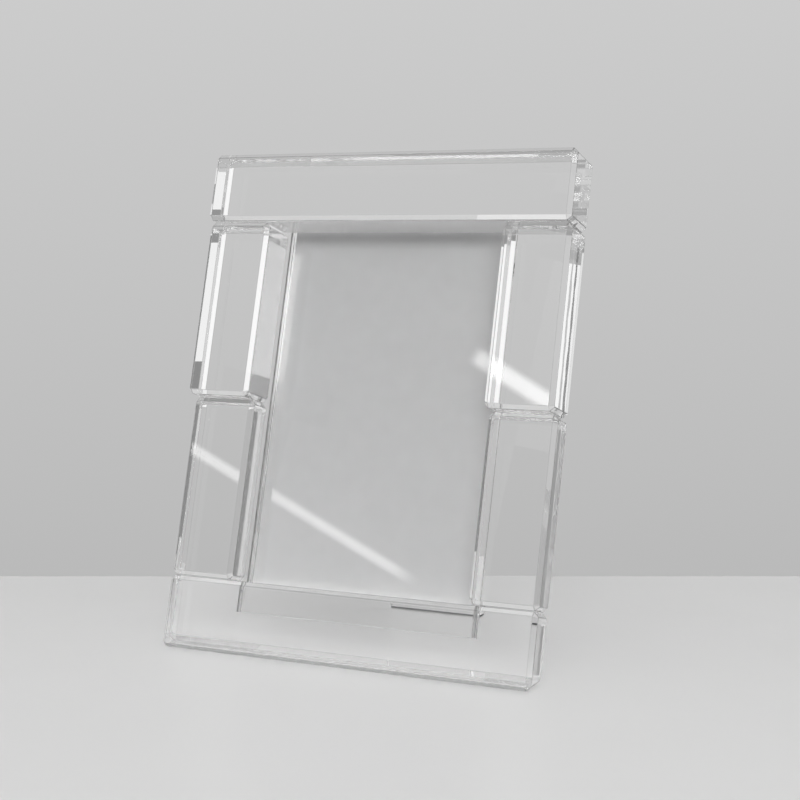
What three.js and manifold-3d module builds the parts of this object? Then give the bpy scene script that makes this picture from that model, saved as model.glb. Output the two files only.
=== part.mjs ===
// Crystal picture frame for a 102 x 152 mm print.
// Six chamfered crystal bars are bonded into a stepped frame that leans back on a folding clear leg.
// Behind the opening a clear pocket holds the print. Units are millimetres, +Z is up, the front faces -Y.
import * as THREE from "three";
import { mergeVertices } from "three/addons/utils/BufferGeometryUtils.js";
import Module from "manifold-3d";

const wasm = await Module();
wasm.setup();

// Print and pocket
const PRINT_WIDTH = 102;
const PRINT_SIDE_CLEARANCE = 0.3;
const PRINT_CARD_THICKNESS = 0.6;
const SIDE_STRIP_WIDTH = 1.7;
const STRIP_THICKNESS = 1.2;
const PANE_THICKNESS = 2;
const BACK_SHEET_THICKNESS = 2.4;
const POCKET_LAP_BOTTOM = 12.5;
const POCKET_LAP_TOP = 2;
const PRINT_LAP_BOTTOM = 1.5;
const THUMB_NOTCH_RADIUS = 10;
const SHEET_ARRIS = 0.3;

// Crystal bars
const SIDE_BLOCK_WIDTH = 29;
const BOTTOM_BAR_HEIGHT = 30.5;
const LOWER_BLOCK_HEIGHT = 75.8;
const UPPER_BLOCK_HEIGHT = 75;
const TOP_BAR_HEIGHT = 29.3;
const BOTTOM_BAR_DEPTH = 13.8;
const LOWER_BLOCK_DEPTH = 13.6;
const UPPER_BLOCK_DEPTH = 20;
const TOP_BAR_DEPTH = 22.5;
const CRYSTAL_CHAMFER = 1.8;

// Stance
const LEAN = THREE.MathUtils.degToRad(15.8);
const LEG_ANGLE = THREE.MathUtils.degToRad(20.2);

// Easel leg and its hinge
const HINGE_HEIGHT = 135;
const HINGE_STANDOFF = 6;
const LUG_WIDTH = 18;
const LUG_RADIUS = 4.8;
const PIN_RADIUS = 1.5;
const PIN_BORE_CLEARANCE = 0.25;
const WASHER_RADIUS = 3.6;
const WASHER_THICKNESS = 0.8;
const EAR_WIDTH = 6.5;
const EAR_ABOVE_PIN = 8;
const FORK_DEPTH = 10;
const FORK_CORNER_RADIUS = 2;
const FORK_SHOULDER = 16;
const LEG_FOOT_WIDTH = 44;
const LEG_THICKNESS = 5.5;
const LEG_ARRIS = 0.4;
const CAP_RADIUS = 3.2;
const CAP_DOME = 1;
const CAP_LENGTH = 2.4;
const CAP_GRIP = 1.3;
const FOOT_PAD_THICKNESS = 0.5;
const FOOT_PAD_INSET = 0.5;

// Thin bond or seat between neighbouring pieces
const SEAT_GAP = 0.3;

// Fineness of round pieces, and how near two points are one
const ROUND_SEGMENTS = 32;
const SAME_POINT = 1e-4;

const CRYSTAL_FINISH = { color: 0xf3f6f7, roughness: 0.02, metalness: 0, transparent: true, opacity: 0.35 };
const ACRYLIC_FINISH = { color: 0xeef2f3, roughness: 0.04, metalness: 0, transparent: true, opacity: 0.4 };
const CARD_FINISH = { color: 0xc6c7c8, roughness: 0.7, metalness: 0 };
const STEEL_FINISH = { color: 0xb9bcc0, roughness: 0.25, metalness: 1 };
const NYLON_FINISH = { color: 0xe9ebea, roughness: 0.45, metalness: 0, transparent: true, opacity: 0.8 };
const RUBBER_FINISH = { color: 0x545557, roughness: 0.8, metalness: 0 };

// Heights along the leaning frame, measured up from the front bottom corner of the bottom bar
const OPENING_WIDTH = PRINT_WIDTH + 2 * (PRINT_SIDE_CLEARANCE + SIDE_STRIP_WIDTH);
const FRAME_WIDTH = OPENING_WIDTH + 2 * SIDE_BLOCK_WIDTH;
const LOWER_BLOCK_BASE = BOTTOM_BAR_HEIGHT + SEAT_GAP;
const UPPER_BLOCK_BASE = LOWER_BLOCK_BASE + LOWER_BLOCK_HEIGHT + SEAT_GAP;
const TOP_BAR_BASE = UPPER_BLOCK_BASE + UPPER_BLOCK_HEIGHT + SEAT_GAP;
const POCKET_BASE = BOTTOM_BAR_HEIGHT - POCKET_LAP_BOTTOM;
const POCKET_TOP = TOP_BAR_BASE + POCKET_LAP_TOP;
const PRINT_BASE = BOTTOM_BAR_HEIGHT - PRINT_LAP_BOTTOM;

// Depths behind the common back plane of the bars
const PANE_FRONT = SEAT_GAP;
const STRIP_FRONT = PANE_FRONT + PANE_THICKNESS + SEAT_GAP;
const BACK_SHEET_FRONT = STRIP_FRONT + STRIP_THICKNESS + SEAT_GAP;
const LUG_FRONT = BACK_SHEET_FRONT + BACK_SHEET_THICKNESS + SEAT_GAP;
const HINGE_DEPTH = LUG_FRONT + HINGE_STANDOFF;

// Hinge widths, measured out from the middle
const EAR_INNER = LUG_WIDTH / 2 + WASHER_THICKNESS + 2 * SEAT_GAP;
const EAR_OUTER = EAR_INNER + EAR_WIDTH;
const CAP_INNER = EAR_OUTER + SEAT_GAP;
const PIN_LENGTH = 2 * (CAP_INNER + CAP_GRIP - SEAT_GAP);
const PIN_BORE_RADIUS = PIN_RADIUS + PIN_BORE_CLEARANCE;

function solidFrom(geometry) {
  const plain = geometry.index ? geometry.toNonIndexed() : geometry.clone();
  plain.deleteAttribute("normal");
  plain.deleteAttribute("uv");
  const merged = mergeVertices(plain, SAME_POINT);
  return new wasm.Manifold(
    new wasm.Mesh({
      numProp: 3,
      vertProperties: new Float32Array(merged.attributes.position.array),
      triVerts: new Uint32Array(merged.index.array),
    }),
  );
}

function geometryFrom(solid) {
  const { vertProperties, triVerts } = solid.getMesh();
  const geometry = new THREE.BufferGeometry();
  geometry.setAttribute("position", new THREE.BufferAttribute(vertProperties, 3));
  geometry.setIndex(new THREE.BufferAttribute(triVerts, 1));
  geometry.computeVertexNormals();
  return geometry;
}

function cut(geometry, ...cutters) {
  const solid = cutters.reduce((body, cutter) => body.subtract(solidFrom(cutter)), solidFrom(geometry));
  return geometryFrom(solid);
}

// A shape of straight edges with every corner cut back by the same length along both of its edges
function chamferedShape(corners, chamfer) {
  const points = corners.flatMap((corner, index) => {
    const before = corners.at(index - 1);
    const after = corners[(index + 1) % corners.length];
    const towards = (end) => corner.clone().add(end.clone().sub(corner).setLength(chamfer));
    return [towards(before), towards(after)];
  });
  return new THREE.Shape(points);
}

// A solid of one section with a chamfered arris round both ends, running from -length/2 to length/2
function bevelledExtrusion(shape, length, chamfer) {
  const geometry = new THREE.ExtrudeGeometry(shape, {
    depth: length - 2 * chamfer,
    bevelThickness: chamfer,
    bevelSize: chamfer,
    bevelOffset: -chamfer,
    bevelSegments: 1,
    curveSegments: ROUND_SEGMENTS / 2,
  });
  return geometry.translate(0, 0, chamfer - length / 2);
}

// A bar along X: its section is drawn with depth to the right and height upwards
function barAlongX(section, length, chamfer) {
  const depthHeightLength = new THREE.Matrix4().makeBasis(
    new THREE.Vector3(0, 1, 0),
    new THREE.Vector3(0, 0, 1),
    new THREE.Vector3(1, 0, 0),
  );
  return bevelledExtrusion(section, length, chamfer).applyMatrix4(depthHeightLength);
}

function crystalBar(corners, length) {
  return barAlongX(chamferedShape(corners, CRYSTAL_CHAMFER), length, CRYSTAL_CHAMFER);
}

function boxSection(depth, height) {
  return [
    new THREE.Vector2(-depth, 0),
    new THREE.Vector2(0, 0),
    new THREE.Vector2(0, height),
    new THREE.Vector2(-depth, height),
  ];
}

// The bottom bar's foot is ground at the lean, so that it lies flat on the table
function bottomBarSection() {
  const corners = boxSection(BOTTOM_BAR_DEPTH, BOTTOM_BAR_HEIGHT);
  corners[1].y = BOTTOM_BAR_DEPTH * Math.tan(LEAN);
  return corners;
}

// A flat sheet in the XZ plane, centred on its own thickness
function sheet(shape, thickness, arris) {
  return bevelledExtrusion(shape, thickness, arris).rotateX(Math.PI / 2);
}

function rectangleShape(left, right, base, top) {
  const shape = new THREE.Shape();
  shape.moveTo(left, base);
  shape.lineTo(right, base);
  shape.lineTo(right, top);
  shape.lineTo(left, top);
  return shape;
}

// The rear sheet has a half-round notch at its top edge, where a thumb draws the print out
function backSheetShape() {
  const half = OPENING_WIDTH / 2;
  const shape = new THREE.Shape();
  shape.moveTo(-half, POCKET_BASE);
  shape.lineTo(half, POCKET_BASE);
  shape.lineTo(half, POCKET_TOP);
  shape.lineTo(THUMB_NOTCH_RADIUS, POCKET_TOP);
  shape.absarc(0, POCKET_TOP, THUMB_NOTCH_RADIUS, 0, Math.PI, true);
  shape.lineTo(-half, POCKET_TOP);
  return shape;
}

function roundAlongX(radius, length) {
  return new THREE.CylinderGeometry(radius, radius, length, ROUND_SEGMENTS).rotateZ(Math.PI / 2);
}

// A lug with a flat base on the rear sheet and a round nose about the pin
function hingeLug() {
  const shape = new THREE.Shape();
  shape.moveTo(-HINGE_STANDOFF, -LUG_RADIUS);
  shape.lineTo(0, -LUG_RADIUS);
  shape.absarc(0, 0, LUG_RADIUS, -Math.PI / 2, Math.PI / 2, false);
  shape.lineTo(-HINGE_STANDOFF, LUG_RADIUS);
  const body = barAlongX(shape, LUG_WIDTH, SHEET_ARRIS);
  return cut(body, roundAlongX(PIN_BORE_RADIUS, 2 * LUG_WIDTH));
}

function washer() {
  const disc = roundAlongX(WASHER_RADIUS, WASHER_THICKNESS);
  return cut(disc, roundAlongX(PIN_BORE_RADIUS, 2 * WASHER_THICKNESS));
}

// A domed push-on cap with a blind bore towards -X
function pinCap() {
  const profile = [
    new THREE.Vector2(0, 0),
    new THREE.Vector2(CAP_RADIUS, 0),
    new THREE.Vector2(CAP_RADIUS, CAP_LENGTH - CAP_DOME),
    new THREE.Vector2(CAP_RADIUS - CAP_DOME, CAP_LENGTH),
    new THREE.Vector2(0, CAP_LENGTH),
  ];
  const dome = new THREE.LatheGeometry(profile, ROUND_SEGMENTS).rotateZ(-Math.PI / 2);
  return cut(dome, roundAlongX(PIN_BORE_RADIUS, 2 * CAP_GRIP));
}

// The leg is drawn flat, with the pin at the origin: two ears astride the lug, then a blade that widens
// to the foot. Its ears are cut to meet the rear sheet when the leg is open, and its foot to lie level.
function easelLeg(footBelowPin) {
  const reach = 2 * footBelowPin;
  const blankEnd = -footBelowPin / Math.cos(LEG_ANGLE) - LEG_THICKNESS;
  const forkCornerX = EAR_INNER - FORK_CORNER_RADIUS;
  const forkCornerZ = FORK_CORNER_RADIUS - FORK_DEPTH;
  const quarter = Math.PI / 2;
  const shape = new THREE.Shape();
  shape.moveTo(-LEG_FOOT_WIDTH / 2, blankEnd);
  shape.lineTo(LEG_FOOT_WIDTH / 2, blankEnd);
  shape.lineTo(EAR_OUTER, -FORK_SHOULDER);
  shape.lineTo(EAR_OUTER, EAR_ABOVE_PIN);
  shape.lineTo(EAR_INNER, EAR_ABOVE_PIN);
  shape.absarc(forkCornerX, forkCornerZ, FORK_CORNER_RADIUS, 0, -quarter, true);
  shape.absarc(-forkCornerX, forkCornerZ, FORK_CORNER_RADIUS, -quarter, -2 * quarter, true);
  shape.lineTo(-EAR_INNER, EAR_ABOVE_PIN);
  shape.lineTo(-EAR_OUTER, EAR_ABOVE_PIN);
  shape.lineTo(-EAR_OUTER, -FORK_SHOULDER);
  const stop = new THREE.BoxGeometry(reach, reach, reach)
    .translate(0, -HINGE_STANDOFF - reach / 2, 0)
    .rotateX(-LEAN - LEG_ANGLE);
  const floor = new THREE.BoxGeometry(reach, 2 * reach, reach)
    .translate(0, 0, -footBelowPin - reach / 2)
    .rotateX(-LEG_ANGLE);
  const bore = roundAlongX(PIN_BORE_RADIUS, 2 * LEG_FOOT_WIDTH);
  return cut(sheet(shape, LEG_THICKNESS, LEG_ARRIS), bore, stop, floor);
}

function addPiece(group, name, geometry, finish, x = 0, y = 0, z = 0) {
  const mesh = new THREE.Mesh(geometry, new THREE.MeshStandardMaterial(finish));
  mesh.name = name;
  mesh.position.set(x, y, z);
  group.add(mesh);
  return mesh;
}

const part = new THREE.Group();
const sides = [["left", -1], ["right", 1]];

// The leaning frame: X to the right, Y back from the bars' back plane, Z up the frame
const leaningFrame = new THREE.Group();
leaningFrame.rotation.x = -LEAN;
leaningFrame.position.y = (BOTTOM_BAR_DEPTH * Math.cos(2 * LEAN)) / (2 * Math.cos(LEAN));
leaningFrame.position.z = -BOTTOM_BAR_DEPTH * Math.sin(LEAN);
part.add(leaningFrame);

addPiece(leaningFrame, "bottom_bar", crystalBar(bottomBarSection(), FRAME_WIDTH), CRYSTAL_FINISH);
for (const [side, sign] of sides) {
  const blockX = (sign * (OPENING_WIDTH + SIDE_BLOCK_WIDTH)) / 2;
  const lower = crystalBar(boxSection(LOWER_BLOCK_DEPTH, LOWER_BLOCK_HEIGHT), SIDE_BLOCK_WIDTH);
  addPiece(leaningFrame, `lower_${side}_block`, lower, CRYSTAL_FINISH, blockX, 0, LOWER_BLOCK_BASE);
  const upper = crystalBar(boxSection(UPPER_BLOCK_DEPTH, UPPER_BLOCK_HEIGHT), SIDE_BLOCK_WIDTH);
  addPiece(leaningFrame, `upper_${side}_block`, upper, CRYSTAL_FINISH, blockX, 0, UPPER_BLOCK_BASE);
}
const topBar = crystalBar(boxSection(TOP_BAR_DEPTH, TOP_BAR_HEIGHT), FRAME_WIDTH);
addPiece(leaningFrame, "top_bar", topBar, CRYSTAL_FINISH, 0, 0, TOP_BAR_BASE);

// The pocket: a clear pane, three strips that space it, the print and the rear sheet
const halfOpening = OPENING_WIDTH / 2;
const paneShape = rectangleShape(-halfOpening, halfOpening, POCKET_BASE, POCKET_TOP);
const pane = sheet(paneShape, PANE_THICKNESS, SHEET_ARRIS);
addPiece(leaningFrame, "glazing_pane", pane, ACRYLIC_FINISH, 0, PANE_FRONT + PANE_THICKNESS / 2);

const stripDepth = STRIP_FRONT + STRIP_THICKNESS / 2;
const ledgeShape = rectangleShape(-halfOpening, halfOpening, POCKET_BASE, PRINT_BASE - SEAT_GAP);
const ledge = sheet(ledgeShape, STRIP_THICKNESS, SHEET_ARRIS);
addPiece(leaningFrame, "pocket_ledge", ledge, ACRYLIC_FINISH, 0, stripDepth);
for (const [side, sign] of sides) {
  const halfStrip = SIDE_STRIP_WIDTH / 2;
  const stripShape = rectangleShape(-halfStrip, halfStrip, PRINT_BASE, POCKET_TOP);
  const strip = sheet(stripShape, STRIP_THICKNESS, SHEET_ARRIS);
  const stripX = sign * (halfOpening - halfStrip);
  addPiece(leaningFrame, `${side}_pocket_strip`, strip, ACRYLIC_FINISH, stripX, stripDepth);
}

const cardShape = rectangleShape(-PRINT_WIDTH / 2, PRINT_WIDTH / 2, PRINT_BASE, POCKET_TOP);
const card = new THREE.ExtrudeGeometry(cardShape, { depth: PRINT_CARD_THICKNESS, bevelEnabled: false });
card.translate(0, 0, -PRINT_CARD_THICKNESS / 2).rotateX(Math.PI / 2);
addPiece(leaningFrame, "picture_card", card, CARD_FINISH, 0, stripDepth);

const backSheet = sheet(backSheetShape(), BACK_SHEET_THICKNESS, SHEET_ARRIS);
const backSheetDepth = BACK_SHEET_FRONT + BACK_SHEET_THICKNESS / 2;
addPiece(leaningFrame, "back_sheet", backSheet, ACRYLIC_FINISH, 0, backSheetDepth);
addPiece(leaningFrame, "hinge_lug", hingeLug(), ACRYLIC_FINISH, 0, HINGE_DEPTH, HINGE_HEIGHT);

// The leg turns about the pin; open, it slopes back to the table
const legGroup = new THREE.Group();
legGroup.position.set(0, HINGE_DEPTH, HINGE_HEIGHT);
legGroup.rotation.x = LEAN + LEG_ANGLE;
leaningFrame.add(legGroup);

leaningFrame.updateMatrixWorld(true);
const pinHeight = leaningFrame.localToWorld(legGroup.position.clone()).z;
const footBelowPin = pinHeight - FOOT_PAD_THICKNESS - SEAT_GAP;
addPiece(legGroup, "easel_leg", easelLeg(footBelowPin), ACRYLIC_FINISH);
addPiece(legGroup, "hinge_pin", roundAlongX(PIN_RADIUS, PIN_LENGTH), STEEL_FINISH);
for (const [side, sign] of sides) {
  const washerX = sign * (LUG_WIDTH / 2 + SEAT_GAP + WASHER_THICKNESS / 2);
  addPiece(legGroup, `${side}_hinge_washer`, washer(), NYLON_FINISH, washerX);
  const cap = addPiece(legGroup, `${side}_pin_cap`, pinCap(), STEEL_FINISH, sign * CAP_INNER);
  cap.rotation.z = sign > 0 ? 0 : Math.PI;
}

// A thin rubber pad under the level end of the leg
const footGroup = new THREE.Group();
footGroup.rotation.x = -LEG_ANGLE;
legGroup.add(footGroup);
const padLength = LEG_THICKNESS / Math.cos(LEG_ANGLE) - 2 * FOOT_PAD_INSET;
const padWidth = LEG_FOOT_WIDTH - 2 * FOOT_PAD_INSET;
const pad = new THREE.BoxGeometry(padWidth, padLength, FOOT_PAD_THICKNESS);
const padY = footBelowPin * Math.tan(LEG_ANGLE);
addPiece(footGroup, "foot_pad", pad, RUBBER_FINISH, 0, padY, FOOT_PAD_THICKNESS / 2 - pinHeight);

export default part;
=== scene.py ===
import math

import bpy
from mathutils import Matrix, Vector


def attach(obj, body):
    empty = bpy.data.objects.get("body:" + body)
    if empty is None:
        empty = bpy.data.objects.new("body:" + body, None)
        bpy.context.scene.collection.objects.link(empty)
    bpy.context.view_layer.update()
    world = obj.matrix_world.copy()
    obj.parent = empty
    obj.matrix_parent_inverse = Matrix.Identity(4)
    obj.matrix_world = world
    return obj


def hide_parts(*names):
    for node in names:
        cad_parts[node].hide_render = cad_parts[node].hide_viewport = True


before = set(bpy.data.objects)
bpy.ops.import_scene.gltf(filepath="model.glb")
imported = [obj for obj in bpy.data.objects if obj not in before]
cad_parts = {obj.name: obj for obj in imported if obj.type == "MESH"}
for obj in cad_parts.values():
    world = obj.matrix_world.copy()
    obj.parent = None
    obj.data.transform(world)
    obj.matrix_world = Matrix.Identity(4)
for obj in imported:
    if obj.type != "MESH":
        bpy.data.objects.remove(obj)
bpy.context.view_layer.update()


# Crystal bars
# Six bars of clear optical crystal, sawn, ground and polished, with a wide polished chamfer on every edge.
# They are bonded edge to edge with a clear cement into a frame whose upper bars stand forward.

MM = 0.001
CRYSTAL_BARS = ("bottom_bar", "lower_left_block", "lower_right_block",
                "upper_left_block", "upper_right_block", "top_bar")
CRYSTAL_IOR = 1.52
POLISH_WAVE, POLISH_DEPTH = 9 * MM, 0.0004 * MM
ARRIS = 0.2 * MM
STONE_GRIT = 0.15 * MM
WHEEL_GRIT = 0.2 * MM
LEAN = math.radians(15.8)
FOOT_EDGE = (math.radians(90) - LEAN) / 2
FOOT_EDGE_FACING = Vector((0.0, -math.cos(FOOT_EDGE), -math.sin(FOOT_EDGE)))
SAME_FACING = 0.999
WELD = 0.002 * MM
FLAT_WITHIN, EDGE_FROM = math.radians(0.5), math.radians(25)
EASE_STEPS = 2


def linear_colour(srgb_hex):
    channels = []
    for start in (0, 2, 4):
        value = int(srgb_hex[start:start + 2], 16) / 255
        channels.append(value / 12.92 if value <= 0.04045 else ((value + 0.055) / 1.055) ** 2.4)
    return (*channels, 1.0)


def add_node(owner, kind, settings=None, links=None):
    node = owner.node_tree.nodes.new(kind)
    for name, value in (settings or {}).items():
        if isinstance(name, str) and hasattr(node, name):
            setattr(node, name, value)
        else:
            node.inputs[name].default_value = value
    for name, socket in (links or {}).items():
        owner.node_tree.links.new(socket, node.inputs[name])
    return node


def empty_material(name):
    material = bpy.data.materials.new(name)
    material.use_nodes = True
    material.node_tree.nodes.clear()
    return material


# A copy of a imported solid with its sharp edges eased. The last finish goes on the eased edges.
def eased_copy(node_name, piece_name, ease, finishes, smooth_degrees=0):
    piece = bpy.data.objects.new(piece_name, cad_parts[node_name].data.copy())
    bpy.context.scene.collection.objects.link(piece)
    bpy.ops.object.select_all(action="DESELECT")
    piece.select_set(True)
    bpy.context.view_layer.objects.active = piece
    bpy.ops.mesh.customdata_custom_splitnormals_clear()
    bpy.ops.object.mode_set(mode="EDIT")
    bpy.ops.mesh.select_all(action="SELECT")
    bpy.ops.mesh.remove_doubles(threshold=WELD)
    bpy.ops.mesh.dissolve_limited(angle_limit=FLAT_WITHIN)
    bpy.ops.mesh.faces_shade_flat()
    bpy.ops.object.mode_set(mode="OBJECT")
    piece.data.materials.clear()
    for finish in finishes:
        piece.data.materials.append(finish)
    rounding = piece.modifiers.new("eased_edges", "BEVEL")
    rounding.material = len(finishes) - 1
    rounding.width = ease
    rounding.segments = EASE_STEPS
    rounding.limit_method = "ANGLE"
    rounding.angle_limit = EDGE_FROM
    bpy.ops.object.modifier_apply(modifier=rounding.name)
    if smooth_degrees:
        bpy.ops.object.shade_smooth_by_angle(angle=math.radians(smooth_degrees))
    return piece


# Polished crystal: water clear, with a faint waviness left by the polishing felt, which makes what is seen
# through a bar swim a little. The waves are about 9 mm long and under a thousandth of a millimetre deep.
crystal = empty_material("felt_polished_optical_crystal")
place = add_node(crystal, "ShaderNodeTexCoord")
waves = add_node(crystal, "ShaderNodeTexNoise", {"Scale": 1 / POLISH_WAVE, "Detail": 1.0},
                 {"Vector": place.outputs["Object"]})
polish = add_node(crystal, "ShaderNodeBump", {"Strength": 1.0, "Distance": POLISH_DEPTH},
                  {"Height": waves.outputs[0]})
surface = add_node(crystal, "ShaderNodeBsdfPrincipled", {
    "Base Color": linear_colour("FDFDFD"), "Roughness": 0.0, "IOR": CRYSTAL_IOR, "Transmission Weight": 1.0,
}, {"Normal": polish.outputs[0]})
add_node(crystal, "ShaderNodeOutputMaterial", {}, {"Surface": surface.outputs[0]})

# Stoned arris: the sharp edge of each chamfer is taken off with a fine stone and left unpolished; the stone's
# grit shows at about 0.15 mm. Its colour is painted shade: a dark line edge-on, pale where it is looked at
# squarely.
arris_painted_shade = empty_material("stoned_arris_painted_edge_shade")
place = add_node(arris_painted_shade, "ShaderNodeTexCoord")
grit = add_node(arris_painted_shade, "ShaderNodeTexNoise", {"Scale": 1 / STONE_GRIT, "Detail": 2.0},
                {"Vector": place.outputs["Object"]})
dullness = add_node(arris_painted_shade, "ShaderNodeMapRange", {"To Min": 0.16, "To Max": 0.26}, {"Value": grit.outputs[0]})
edge_on = add_node(arris_painted_shade, "ShaderNodeLayerWeight", {"Blend": 0.5})
# Painted shade: the arris is tinted darker the more it is seen edge-on.
shade = add_node(arris_painted_shade, "ShaderNodeValToRGB", {}, {"Fac": edge_on.outputs["Facing"]})
shade.color_ramp.elements[0].position = 0.14
shade.color_ramp.elements[0].color = linear_colour("E8E8E8")
shade.color_ramp.elements[1].position = 0.42
shade.color_ramp.elements[1].color = linear_colour("585858")
surface = add_node(arris_painted_shade, "ShaderNodeBsdfPrincipled", {"IOR": CRYSTAL_IOR, "Transmission Weight": 1.0}, {
    "Base Color": shade.outputs[0], "Roughness": dullness.outputs[0]})
add_node(arris_painted_shade, "ShaderNodeOutputMaterial", {}, {"Surface": surface.outputs[0]})

# Ground crystal: where the bottom bar's foot is ground level, its front lower edge is left matt as the wheel
# leaves it, with the wheel's grit at about 0.2 mm. Its grey is a painted contact shade that lines the foot along
# the table.
ground_contact_shade = empty_material("wheel_ground_crystal_painted_shade")
place = add_node(ground_contact_shade, "ShaderNodeTexCoord")
grit = add_node(ground_contact_shade, "ShaderNodeTexNoise", {"Scale": 1 / WHEEL_GRIT, "Detail": 2.0},
                {"Vector": place.outputs["Object"]})
dullness = add_node(ground_contact_shade, "ShaderNodeMapRange", {"To Min": 0.4, "To Max": 0.55}, {"Value": grit.outputs[0]})
surface = add_node(ground_contact_shade, "ShaderNodeBsdfPrincipled", {
    "Base Color": linear_colour("ACACAC"), "IOR": CRYSTAL_IOR, "Transmission Weight": 1.0,
}, {"Roughness": dullness.outputs[0]})
add_node(ground_contact_shade, "ShaderNodeOutputMaterial", {}, {"Surface": surface.outputs[0]})

for bar in CRYSTAL_BARS:
    piece = eased_copy(bar, f"{bar}_polished", ARRIS, (crystal, arris_painted_shade))
    if bar == "bottom_bar":
        # The bar's front lower edge gets the grey of the painted contact shade.
        piece.data.materials.append(ground_contact_shade)
        for face in piece.data.polygons:
            if face.normal.dot(FOOT_EDGE_FACING) > SAME_FACING:
                face.material_index = len(piece.data.materials) - 1
    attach(piece, "frame")
    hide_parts(bar)


# Print pocket
# A clear pane, a ledge, two side strips and a rear sheet, cut from cast acrylic sheet with flame-polished
# edges and cemented into a flat pocket behind the opening.

POCKET_SHEETS = ("glazing_pane", "pocket_ledge", "left_pocket_strip", "right_pocket_strip", "back_sheet")
SHEET_EASE = 0.15 * MM
ACRYLIC_IOR = 1.49
CAST_WAVE, CAST_DEPTH = 22 * MM, 0.003 * MM
SAW_MARK = 0.4 * MM
SIDEWAYS = 0.5

# Cast acrylic sheet: clear, with the long soft undulation of a sheet cast between glass plates,
# so that a straight lamp mirrors in it with very slightly uneven edges.
acrylic = empty_material("cast_acrylic_sheet")
place = add_node(acrylic, "ShaderNodeTexCoord")
undulation = add_node(acrylic, "ShaderNodeTexNoise", {"Scale": 1 / CAST_WAVE, "Detail": 0.0},
                      {"Vector": place.outputs["Object"]})
casting = add_node(acrylic, "ShaderNodeBump", {"Strength": 1.0, "Distance": CAST_DEPTH},
                   {"Height": undulation.outputs[0]})
surface = add_node(acrylic, "ShaderNodeBsdfPrincipled", {
    "Base Color": linear_colour("FCFCFC"), "Roughness": 0.0, "IOR": ACRYLIC_IOR, "Transmission Weight": 1.0,
}, {"Normal": casting.outputs[0]})
add_node(acrylic, "ShaderNodeOutputMaterial", {}, {"Surface": surface.outputs[0]})

# Sawn acrylic: only the pane's two sides are left matt as the saw leaves them, and tinted grey as painted shade,
# which draws a fine dark line down each side of the opening. The saw's marks are blotches of about 0.4 mm.
sawn_edge_painted_shade = empty_material("sawn_acrylic_edge_painted_shade")
place = add_node(sawn_edge_painted_shade, "ShaderNodeTexCoord")
marks = add_node(sawn_edge_painted_shade, "ShaderNodeTexNoise", {"Scale": 1 / SAW_MARK, "Detail": 2.0},
                 {"Vector": place.outputs["Object"]})
tint = add_node(sawn_edge_painted_shade, "ShaderNodeValToRGB", {}, {"Fac": marks.outputs[0]})
tint.color_ramp.elements[0].color = linear_colour("B4B4B4")
tint.color_ramp.elements[1].color = linear_colour("CCCCCC")
surface = add_node(sawn_edge_painted_shade, "ShaderNodeBsdfPrincipled", {
    "Roughness": 0.6, "IOR": ACRYLIC_IOR, "Transmission Weight": 0.4,
}, {"Base Color": tint.outputs[0]})
add_node(sawn_edge_painted_shade, "ShaderNodeOutputMaterial", {}, {"Surface": surface.outputs[0]})

for sheet in POCKET_SHEETS:
    piece = eased_copy(sheet, f"{sheet}_cut", SHEET_EASE, (acrylic,))
    if sheet == "glazing_pane":
        # The pane's two sides get the grey of the painted shade line.
        piece.data.materials.append(sawn_edge_painted_shade)
        for face in piece.data.polygons:
            if abs(face.normal.x) > SIDEWAYS:
                face.material_index = len(piece.data.materials) - 1
    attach(piece, "frame")
    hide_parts(sheet)


# Picture card
# A plain blank of grey coated card, guillotined to the print's size and slipped into the pocket from above.
# Its cut edges show the paler board inside.

CARD_EASE = 0.05 * MM
CARD_FACING = Vector((0.0, math.cos(LEAN), -math.sin(LEAN)))
FIBRE_CLOUD = 6 * MM
COATING_TOOTH, TOOTH_DEPTH = 0.5 * MM, 0.02 * MM
BOARD_FIBRE = 0.15 * MM

# Coated card: matt grey, with the soft cloudiness of the fibres under the coating (about 6 mm across),
# a fine tooth of 0.5 mm and a slight sheen.
card_finish = empty_material("grey_coated_card")
place = add_node(card_finish, "ShaderNodeTexCoord")
clouds = add_node(card_finish, "ShaderNodeTexNoise", {"Scale": 1 / FIBRE_CLOUD, "Detail": 3.0},
                  {"Vector": place.outputs["Object"]})
tint = add_node(card_finish, "ShaderNodeValToRGB", {}, {"Fac": clouds.outputs[0]})
tint.color_ramp.elements[0].position = 0.3
tint.color_ramp.elements[0].color = linear_colour("CACACA")
tint.color_ramp.elements[1].position = 0.7
tint.color_ramp.elements[1].color = linear_colour("CDCDCD")
tooth = add_node(card_finish, "ShaderNodeTexNoise", {"Scale": 1 / COATING_TOOTH, "Detail": 2.0},
                 {"Vector": place.outputs["Object"]})
sheen_spread = add_node(card_finish, "ShaderNodeMapRange", {"To Min": 0.5, "To Max": 0.62},
                        {"Value": tooth.outputs[0]})
relief = add_node(card_finish, "ShaderNodeBump", {"Strength": 0.3, "Distance": TOOTH_DEPTH},
                  {"Height": tooth.outputs[0]})
surface = add_node(card_finish, "ShaderNodeBsdfPrincipled", {"IOR": 1.45}, {
    "Base Color": tint.outputs[0], "Roughness": sheen_spread.outputs[0], "Normal": relief.outputs[0]})
add_node(card_finish, "ShaderNodeOutputMaterial", {}, {"Surface": surface.outputs[0]})

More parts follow.
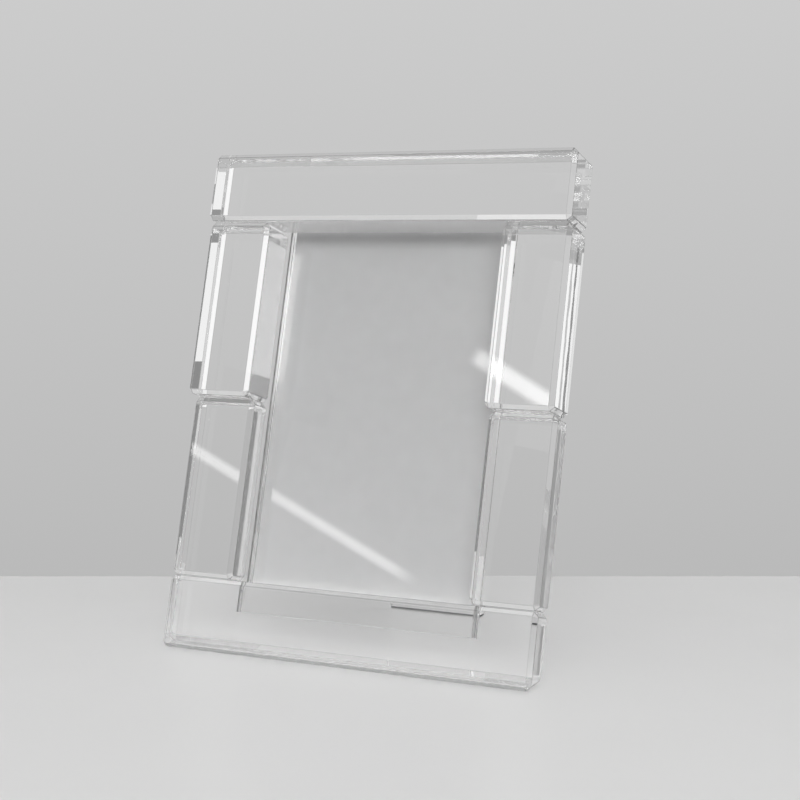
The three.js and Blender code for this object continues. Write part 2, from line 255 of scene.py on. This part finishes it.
# Cut board: pale and dead matt, with the cut fibres as a fine mottling of about 0.15 mm.
board = empty_material("guillotined_board_edge")
place = add_node(board, "ShaderNodeTexCoord")
fibres = add_node(board, "ShaderNodeTexNoise", {"Scale": 1 / BOARD_FIBRE, "Detail": 1.0},
                  {"Vector": place.outputs["Object"]})
tint = add_node(board, "ShaderNodeValToRGB", {}, {"Fac": fibres.outputs[0]})
tint.color_ramp.elements[0].color = linear_colour("C9C8C5")
tint.color_ramp.elements[1].color = linear_colour("DDDCD9")
surface = add_node(board, "ShaderNodeBsdfPrincipled", {"Roughness": 0.9}, {"Base Color": tint.outputs[0]})
add_node(board, "ShaderNodeOutputMaterial", {}, {"Surface": surface.outputs[0]})

piece = eased_copy("picture_card", "picture_card_trimmed", CARD_EASE, (card_finish, board))
for face in piece.data.polygons:
    if abs(face.normal.dot(CARD_FACING)) < SIDEWAYS:
        face.material_index = len(piece.data.materials) - 1
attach(piece, "card")
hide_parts("picture_card")


# Hinge lug and easel leg
# The lug is a short bar of clear acrylic cemented to the rear sheet. The leg is sawn from acrylic sheet,
# forked to go astride the lug, and drops back to the table. Both are polished all over.

LEG_EASE = 0.12 * MM
LEG_SMOOTH = 12

for node_name, body in (("hinge_lug", "frame"), ("easel_leg", "leg")):
    piece = eased_copy(node_name, f"{node_name}_polished", LEG_EASE, (acrylic,), LEG_SMOOTH)
    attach(piece, body)
    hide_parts(node_name)


# Hinge pin and its caps
# A turned stainless steel pin goes through the leg's ears and the lug, and a domed steel cap is pressed on
# each end.

PIN_EASE, CAP_EASE = 0.3 * MM, 0.45 * MM
ROUND_SMOOTH = 35
TURNING_RING, RING_DEPTH = 0.6 * MM, 0.003 * MM
WAVE_PERIOD = math.tau / 20

# Polished stainless steel: bright, with fine turning rings round the pin's axis that spread the
# reflections. The rings are drawn 0.6 mm apart, many times coarser than they are, so that they show.
steel = empty_material("turned_stainless_steel")
place = add_node(steel, "ShaderNodeTexCoord")
rings = add_node(steel, "ShaderNodeTexWave", {
    "wave_type": "BANDS", "bands_direction": "X", "Scale": WAVE_PERIOD / TURNING_RING, "Distortion": 0.6,
    "Detail": 1.0}, {"Vector": place.outputs["Object"]})
gloss = add_node(steel, "ShaderNodeMapRange", {"To Min": 0.14, "To Max": 0.26}, {"Value": rings.outputs[1]})
groove = add_node(steel, "ShaderNodeBump", {"Strength": 0.4, "Distance": RING_DEPTH},
                  {"Height": rings.outputs[1]})
surface = add_node(steel, "ShaderNodeBsdfPrincipled", {
    "Base Color": linear_colour("C9CACB"), "Metallic": 1.0,
}, {"Roughness": gloss.outputs[0], "Normal": groove.outputs[0]})
add_node(steel, "ShaderNodeOutputMaterial", {}, {"Surface": surface.outputs[0]})

for node_name, ease in (("hinge_pin", PIN_EASE), ("left_pin_cap", CAP_EASE), ("right_pin_cap", CAP_EASE)):
    piece = eased_copy(node_name, f"{node_name}_turned", ease, (steel,), ROUND_SMOOTH)
    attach(piece, "leg")
    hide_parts(node_name)


# Hinge washers
# A thin washer of natural nylon, moulded and slipped over the pin on each side of the lug, keeps the leg's
# ears off it.

WASHER_EASE = 0.15 * MM
MOULD_GRAIN = 0.2 * MM

# Moulded nylon: milky and translucent, with a fine mould grain of 0.2 mm and a dull gloss.
nylon = empty_material("moulded_natural_nylon")
place = add_node(nylon, "ShaderNodeTexCoord")
grain = add_node(nylon, "ShaderNodeTexNoise", {"Scale": 1 / MOULD_GRAIN, "Detail": 2.0},
                 {"Vector": place.outputs["Object"]})
dullness = add_node(nylon, "ShaderNodeMapRange", {"To Min": 0.34, "To Max": 0.5}, {"Value": grain.outputs[0]})
surface = add_node(nylon, "ShaderNodeBsdfPrincipled", {
    "Base Color": linear_colour("EFEEE8"), "IOR": 1.53, "Transmission Weight": 0.4,
}, {"Roughness": dullness.outputs[0]})
add_node(nylon, "ShaderNodeOutputMaterial", {}, {"Surface": surface.outputs[0]})

for node_name in ("left_hinge_washer", "right_hinge_washer"):
    piece = eased_copy(node_name, f"{node_name}_moulded", WASHER_EASE, (nylon,), ROUND_SMOOTH)
    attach(piece, "leg")
    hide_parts(node_name)


# Foot pad
# A thin strip of grey sheet rubber, cut with a knife and glued under the leg's level end, so that the leg
# grips the table.

PAD_EASE = 0.1 * MM
CLOTH_MARK, MARK_DEPTH = 0.6 * MM, 0.03 * MM

# Sheet rubber: dark grey and matt, with the uneven impression, about 0.6 mm across, of the cloth that it
# was rolled up in when it was calendered.
rubber = empty_material("calendered_sheet_rubber")
place = add_node(rubber, "ShaderNodeTexCoord")
cloth = add_node(rubber, "ShaderNodeTexNoise", {"Scale": 1 / CLOTH_MARK, "Detail": 3.0},
                 {"Vector": place.outputs["Object"]})
dust = add_node(rubber, "ShaderNodeValToRGB", {}, {"Fac": cloth.outputs[0]})
dust.color_ramp.elements[0].color = linear_colour("4C4D4F")
dust.color_ramp.elements[1].color = linear_colour("5E5F61")
impression = add_node(rubber, "ShaderNodeBump", {"Strength": 0.5, "Distance": MARK_DEPTH},
                      {"Height": cloth.outputs[0]})
surface = add_node(rubber, "ShaderNodeBsdfPrincipled", {"Roughness": 0.75, "IOR": 1.5}, {
    "Base Color": dust.outputs[0], "Normal": impression.outputs[0]})
add_node(rubber, "ShaderNodeOutputMaterial", {}, {"Surface": surface.outputs[0]})

piece = eased_copy("foot_pad", "foot_pad_cut", PAD_EASE, (rubber,))
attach(piece, "leg")
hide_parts("foot_pad")


# Table
# A white lacquered table top under the frame, satin, so that it mirrors the frame as a soft blur.
# What shows through the crystal is the part of it in front of the wall.

VIEW_AZIMUTH = math.radians(24.95)
AWAY = Vector((-math.sin(VIEW_AZIMUTH), math.cos(VIEW_AZIMUTH), 0.0))
ACROSS = Vector((math.cos(VIEW_AZIMUTH), math.sin(VIEW_AZIMUTH), 0.0))
UP = Vector((0.0, 0.0, 1.0))
WALL_DISTANCE = 168 * MM
TABLE_FRONT = -60 * MM
TABLE_REACH = 4.0
TABLE_DROP = 0.2 * MM
LACQUER_FLOW = 40 * MM


def stage_sheet(name, middle, width, length, material):
    bpy.ops.object.select_all(action="DESELECT")
    bpy.ops.mesh.primitive_plane_add(size=1.0)
    sheet = bpy.context.object
    sheet.name = name
    placing = Matrix((width, length, width.cross(length).normalized())).transposed().to_4x4()
    placing.translation = middle
    sheet.matrix_world = placing
    bpy.ops.object.transform_apply(location=True, rotation=True, scale=True)
    sheet.data.materials.append(material)
    return sheet


# Satin lacquer: off-white, with the slight orange-peel flow of a sprayed coat, about 40 mm across, which
# softens the mirror image unevenly. Through the crystal it is painted lighter, to make up for what the bars
# mirror away.
lacquer = empty_material("sprayed_satin_lacquer")
place = add_node(lacquer, "ShaderNodeTexCoord")
flow = add_node(lacquer, "ShaderNodeTexNoise", {"Scale": 1 / LACQUER_FLOW, "Detail": 2.0},
                {"Vector": place.outputs["Object"]})
satin = add_node(lacquer, "ShaderNodeMapRange", {"To Min": 0.2, "To Max": 0.26}, {"Value": flow.outputs[0]})
path = add_node(lacquer, "ShaderNodeLightPath")
# Painted light: rays that come through the crystal see the lacquer lighter.
tint = add_node(lacquer, "ShaderNodeMix", {
    "data_type": "RGBA", "A": linear_colour("E5E5E5"), "B": linear_colour("F4F4F4"),
}, {"Factor": path.outputs["Is Transmission Ray"]})
surface = add_node(lacquer, "ShaderNodeBsdfPrincipled", {}, {
    "Base Color": tint.outputs[2], "Roughness": satin.outputs[0]})
add_node(lacquer, "ShaderNodeOutputMaterial", {}, {"Surface": surface.outputs[0]})

# The wall keeps some light off the table at its foot. Behind the wall the lacquer's colour is painted that much
# darker, as painted shade, so that no step shows there in a view from behind.
lacquer_painted_shade = lacquer.copy()
lacquer_painted_shade.name = "sprayed_satin_lacquer_painted_shade"
lacquer_painted_shade.node_tree.nodes[tint.name].inputs["A"].default_value = linear_colour("D6D6D6")

for name, start, end, finish in (("table", TABLE_FRONT, WALL_DISTANCE, lacquer),
                                 ("table_in_front", -TABLE_REACH, TABLE_FRONT, lacquer),
                                 ("table_behind_wall", WALL_DISTANCE, TABLE_REACH, lacquer_painted_shade)):
    table = stage_sheet(name, AWAY * (start + end) / 2 - UP * TABLE_DROP,
                        ACROSS * 2 * TABLE_REACH, AWAY * (end - start), finish)
    table.visible_transmission = name == "table"


# Wall
# A plain grey wall behind the table. It glows by itself, evenly across, with a painted fall-off of light that
# makes it a little brighter towards the top. It shows only from the front, so that the frame can be looked at
# from behind.

WALL_FOOT, WALL_TOP = "BABABA", "D0D0D0"
WALL_SHADED = 360 * MM
WALL_WIDTH, WALL_HEIGHT = 6.0, 2.4

# The wall glows by itself instead of being lit, so that only the painted fall-off of the light shows on it.
wall_glow = empty_material("glowing_wall_painted_falloff")
place = add_node(wall_glow, "ShaderNodeTexCoord")
split = add_node(wall_glow, "ShaderNodeSeparateXYZ", {}, {"Vector": place.outputs["Object"]})
height = add_node(wall_glow, "ShaderNodeMapRange", {"From Min": 0.0, "From Max": WALL_SHADED},
                  {"Value": split.outputs["Z"]})
shade = add_node(wall_glow, "ShaderNodeValToRGB", {}, {"Fac": height.outputs[0]})
shade.color_ramp.elements[0].color = linear_colour(WALL_FOOT)
shade.color_ramp.elements[1].color = linear_colour(WALL_TOP)
glow = add_node(wall_glow, "ShaderNodeEmission", {"Strength": 1.0}, {"Color": shade.outputs[0]})
side_seen = add_node(wall_glow, "ShaderNodeNewGeometry")
nothing = add_node(wall_glow, "ShaderNodeBsdfTransparent")
front_only = add_node(wall_glow, "ShaderNodeMixShader", {}, {
    0: side_seen.outputs["Backfacing"], 1: glow.outputs[0], 2: nothing.outputs[0]})
add_node(wall_glow, "ShaderNodeOutputMaterial", {}, {"Surface": front_only.outputs[0]})
wall_glow.cycles.emission_sampling = "NONE"

wall = stage_sheet("wall", AWAY * WALL_DISTANCE + UP * WALL_HEIGHT / 2,
                   ACROSS * WALL_WIDTH, UP * WALL_HEIGHT, wall_glow)
wall.visible_transmission = False


# Strip lamps
# Two slim lamps in front and to the left, which mirror in the pane as slanting soft-edged streaks.
# They light nothing else: a lamp is brightest along its middle and fades in from one end.

STRIP_LAMPS = (
    # name; the end that fades in; the other end; width (all mm); brightness
    ("left_strip", (-975.6, -2161.5, 740.5), (-1495, -1893, 932), 32, 6.0),
    ("right_strip", (-916.1, -2015.8, 1175.2), (-722, -2134, 1100), 50, 9.0),
)
LAMPS_FACE = Vector((0, 0, 0.1))
END_FADE, EDGE_FADE = 0.12, 0.4

for name, fading_end, other_end, width, brightness in STRIP_LAMPS:
    start, end = Vector(fading_end) * MM, Vector(other_end) * MM
    towards = (LAMPS_FACE - (start + end) / 2).normalized()
    across = (end - start).cross(towards).normalized() * width * MM
    tube = empty_material(f"{name}_tube")
    place = add_node(tube, "ShaderNodeTexCoord")
    split = add_node(tube, "ShaderNodeSeparateXYZ", {}, {"Vector": place.outputs["UV"]})
    fade_in = add_node(tube, "ShaderNodeMapRange", {
        "interpolation_type": "SMOOTHSTEP", "From Min": 0.0, "From Max": END_FADE},
        {"Value": split.outputs["X"]})
    from_edge = add_node(tube, "ShaderNodeMath", {"operation": "PINGPONG", 1: 0.5}, {0: split.outputs["Y"]})
    soft_edge = add_node(tube, "ShaderNodeMapRange", {
        "interpolation_type": "SMOOTHSTEP", "From Min": 0.0, "From Max": EDGE_FADE},
        {"Value": from_edge.outputs[0]})
    both = add_node(tube, "ShaderNodeMath", {"operation": "MULTIPLY"}, {
        0: fade_in.outputs[0], 1: soft_edge.outputs[0]})
    level = add_node(tube, "ShaderNodeMath", {"operation": "MULTIPLY", 1: brightness}, {0: both.outputs[0]})
    path = add_node(tube, "ShaderNodeLightPath")
    glow = add_node(tube, "ShaderNodeEmission", {}, {"Strength": level.outputs[0]})
    nothing = add_node(tube, "ShaderNodeBsdfTransparent")
    clear = add_node(tube, "ShaderNodeAddShader", {}, {0: glow.outputs[0], 1: nothing.outputs[0]})
    shown = add_node(tube, "ShaderNodeMixShader", {}, {
        0: path.outputs["Diffuse Depth"], 1: clear.outputs[0], 2: nothing.outputs[0]})
    add_node(tube, "ShaderNodeOutputMaterial", {}, {"Surface": shown.outputs[0]})
    tube.cycles.emission_sampling = "NONE"
    strip = stage_sheet(name, (start + end) / 2, end - start, across, tube)
    strip.visible_camera = False
    strip.visible_diffuse = False
    strip.visible_transmission = False
    strip.visible_shadow = False


# Room light
# The room's own soft light, a little stronger from above, and a large soft lamp in front light everything.
# Through the crystal show the grey walls of the room with their windows, doorways and rails.

ROOM_SURFACES = (
    # bearing from, to; height from, to (degrees; bearing 0 is behind the frame, 90 to its right);
    # brightness; how far it leans (bearing for each degree of height). A later one covers an earlier one.
    # Behind the frame, at the height of the table: pale panels with dark rails and posts
    (-9, 5, -8.4, 2.1, 1.25, 0),
    (5, 26, -7.25, 2.1, 1.25, 0),
    (5, 17, -1.2, -0.5, 0.35, 0),
    (17, 26, -0.4, 0.8, 0.35, 0),
    (7.95, 9, -14, -2.3, 0.12, 0),
    (12, 12.6, -14, -7.25, 0.25, 0),
    (26, 42, -4.5, 2.1, 1.15, 0),
    (26, 42, -0.35, 0.8, 0.35, 0),
    (26, 42, -14, -4.5, 0.3, 0),
    (16, 21, 2.2, 3.6, 0.54, 0),
    (-28.88, -28.31, -5.2, -0.3, 3.6, 0.143),
    # Behind the frame, higher up: windows and dark openings
    (-25.6, -12, 24, 40, 1.02, 0),
    (-4, 0, 19, 22, 1.1, 0),
    (34, 40, 28.5, 33, 0.54, 0),
    (43, 46, 38.5, 41.5, 1.3, 0),
    (-40, -25, 50, 55, 0.36, 0),
    # To the left
    (-50, -42, -14, -5, 0.55, 0),
    (-72, -55, 0, 9, 1.3, 0),
    (-72, -55, -14, 0, 0.56, 0),
    (-130, -121, 6, 16.8, 0.33, 0),
    (-130, -113, 16.8, 24, 1.05, 0),
    # In front and to the left: dark doorways and bright openings between them
    (-149.2, -136, 8, 21, 0.3, 0),
    (-150.5, -136, 21, 22.2, 0.45, 0),
    (-150.5, -136, 22.2, 27, 0.82, 0),
    (-157, -143, 27, 31.5, 0.56, 0),
    (-172, -157.6, -4, 2, 0.45, 0),
    (-172, -157.6, 8, 16.5, 0.56, 0),
    (-172, -157.6, 16.5, 22, 0.28, 0),
    (-159.8, -157.6, 22, 28.65, 1.3, 0),
    (-160.5, -157, 28.65, 31, 0.45, 0),
    (-161.865, -161.795, 22, 29.5, 0.55, 0.121),
    (-162.04, -161.96, 22, 29.5, 0.12, 0.121),
    (-157.6, -156, 18.6, 22, 1.0, 0),
    (-166, -158, -14, -10, 1.15, 0),
    # To the right
    (94, 98, 5, 9, 0.3, 0),
    (100, 124, 3, 14, 0.66, 0),
    (100, 124, 14, 22, 0.85, 0),
    (119, 123, 7.5, 10, 0.78, 0),
    (100, 118, -15, -5, 0.5, 0),
    # The floor
    (-41.5, -37, -37.5, -34, 0.33, 0),
    (-7, -3, -41, -37.5, 0.33, 0),
    (-30, -22, -33, -30.9, 0.49, 0),
    (13, 28, -38, -31, 0.44, 0),
    (90, 180, -90, -20, 0.42, 0),
    (-180, -90, -90, -20, 0.42, 0),
)
WALL_FOOT_SLOPE, WALL_TOP_SLOPE = -0.2144, 0.2339
WALL_GAIN = 1.29
MIRRORED_ROOM = 0.55
SOFT_SIDEWAYS, SOFT_ABOVE = 0.1, 1.38
LAMP_LEFT, LAMP_RIGHT, LAMP_LOW, LAMP_HIGH = 136, 180, 16, 30
LAMP_LEVEL = 11.2
BACKDROP = "C8C8C8"

room = bpy.context.scene.world or bpy.data.worlds.new("room")
bpy.context.scene.world = room
room.use_nodes = True
room.node_tree.nodes.clear()
room.cycles.sampling_method = "NONE"
place = add_node(room, "ShaderNodeTexCoord")
split = add_node(room, "ShaderNodeSeparateXYZ", {}, {"Vector": place.outputs["Generated"]})
bearing = add_node(room, "ShaderNodeMath", {"operation": "ARCTAN2"}, {
    0: split.outputs["X"], 1: split.outputs["Y"]})
bearing = add_node(room, "ShaderNodeMath", {"operation": "DEGREES"}, {0: bearing.outputs[0]})
rise = add_node(room, "ShaderNodeMath", {"operation": "ARCSINE"}, {0: split.outputs["Z"]})
slope = add_node(room, "ShaderNodeMath", {"operation": "TANGENT"}, {0: rise.outputs[0]})
rise = add_node(room, "ShaderNodeMath", {"operation": "DEGREES"}, {0: rise.outputs[0]})


def room_patch(left, right, low, high, lean=0):
    upright = add_node(room, "ShaderNodeMath", {"operation": "MULTIPLY_ADD", 1: -lean}, {
        0: rise.outputs[0], 2: bearing.outputs[0]})
    across = add_node(room, "ShaderNodeMath", {
        "operation": "COMPARE", 1: (left + right) / 2, 2: (right - left) / 2}, {0: upright.outputs[0]})
    upward = add_node(room, "ShaderNodeMath", {
        "operation": "COMPARE", 1: (low + high) / 2, 2: (high - low) / 2}, {0: rise.outputs[0]})
    return add_node(room, "ShaderNodeMath", {"operation": "MULTIPLY"}, {
        0: across.outputs[0], 1: upward.outputs[0]})


# What the crystal refracts: the wall's own shades all round, brighter by what the bars mirror away, with the
# room's surfaces on them.
level = add_node(room, "ShaderNodeMapRange", {
    "From Min": WALL_FOOT_SLOPE, "From Max": WALL_TOP_SLOPE,
    "To Min": linear_colour(WALL_FOOT)[0] * WALL_GAIN, "To Max": linear_colour(WALL_TOP)[0] * WALL_GAIN,
}, {"Value": slope.outputs[0]})
for left, right, low, high, brightness, lean in ROOM_SURFACES:
    level = add_node(room, "ShaderNodeMix", {"B": brightness}, {
        "Factor": room_patch(left, right, low, high, lean).outputs[0], "A": level.outputs[0]})
refracted = add_node(room, "ShaderNodeBackground", {}, {"Strength": level.outputs[0]})

# What a polished face mirrors is plain. What lights the matt surfaces is soft and has the large lamp in it,
# which is in front, to the right and above the camera, and isn't seen itself.
mirrored = add_node(room, "ShaderNodeBackground", {"Strength": MIRRORED_ROOM})
soft = add_node(room, "ShaderNodeMapRange", {
    "From Min": 0.0, "From Max": 1.0, "To Min": SOFT_SIDEWAYS, "To Max": SOFT_ABOVE},
    {"Value": split.outputs["Z"]})
soft = add_node(room, "ShaderNodeMath", {"operation": "MULTIPLY_ADD", 1: LAMP_LEVEL}, {
    0: room_patch(LAMP_LEFT, LAMP_RIGHT, LAMP_LOW, LAMP_HIGH).outputs[0], 2: soft.outputs[0]})
lighting = add_node(room, "ShaderNodeBackground", {}, {"Strength": soft.outputs[0]})
backdrop = add_node(room, "ShaderNodeBackground", {"Color": linear_colour(BACKDROP), "Strength": 1.0})
path = add_node(room, "ShaderNodeLightPath")
in_glass = add_node(room, "ShaderNodeMixShader", {}, {
    0: path.outputs["Is Transmission Ray"], 1: mirrored.outputs[0], 2: refracted.outputs[0]})
lit = add_node(room, "ShaderNodeMixShader", {}, {
    0: path.outputs["Diffuse Depth"], 1: in_glass.outputs[0], 2: lighting.outputs[0]})
shown = add_node(room, "ShaderNodeMixShader", {}, {
    0: path.outputs["Is Camera Ray"], 1: lit.outputs[0], 2: backdrop.outputs[0]})
add_node(room, "ShaderNodeOutputWorld", {}, {"Surface": shown.outputs[0]})


# Camera
# It stands a little to the right of the frame and looks slightly down at it. Light crosses many polished
# faces on its way here, so its paths are followed for longer than usual.

IMAGE_WIDTH = 800
FOCAL_PIXELS = 1620.19
SENSOR = 36.0
CAMERA_PLACE = (0.28866, -0.56621, 0.17220)
CAMERA_AIM = Vector((-0.41959, 0.90187, -0.10279))

lens = bpy.data.cameras.new("camera")
lens.sensor_width = SENSOR
lens.lens = SENSOR * FOCAL_PIXELS / IMAGE_WIDTH
camera = bpy.data.objects.new("camera", lens)
camera.location = CAMERA_PLACE
camera.rotation_mode = "QUATERNION"
camera.rotation_quaternion = CAMERA_AIM.to_track_quat("-Z", "Y")
bpy.context.scene.collection.objects.link(camera)
bpy.context.scene.camera = camera
bpy.context.scene.view_settings.view_transform = "Standard"
paths = bpy.context.scene.cycles
paths.max_bounces = 64
paths.glossy_bounces = 48
paths.transmission_bounces = 48
paths.transparent_max_bounces = 32
paths.blur_glossy = 0.0
